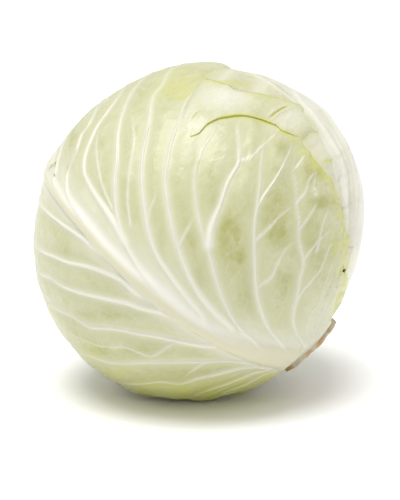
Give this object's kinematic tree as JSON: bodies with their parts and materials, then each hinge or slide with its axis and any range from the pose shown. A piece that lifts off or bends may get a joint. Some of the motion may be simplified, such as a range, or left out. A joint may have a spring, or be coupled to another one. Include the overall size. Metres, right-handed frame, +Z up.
{
  "type": "cabbage head",
  "caption": "Round white cabbage head lying on its side, with thin veined leaves lapped over a packed heart and a short cut stem.",
  "frame": {"origin": "middle of the small flat spot that the head rests on", "axes": "+Z up; -Y towards the camera of the picture; the cut stem points to +X, down and a little to -Y"},
  "size_m": [0.1733, 0.1797, 0.1742],
  "materials": {
    "outer_leaf": null,
    "inner_leaf": "smooth pale yellow-green leaf under the outer ones",
    "heart": "creamy white packed leaves",
    "stem": "dry cut stem, greyish cream with brown patches"
  },
  "bodies": {
    "root": {"front_leaf": "outer_leaf", "right_leaf": "outer_leaf", "left_leaf": "outer_leaf", "inner_leaf_1": "inner_leaf", "inner_leaf_2": "inner_leaf", "inner_leaf_3": "inner_leaf", "heart": "heart", "stem": "stem"}
  },
  "joints": []
}
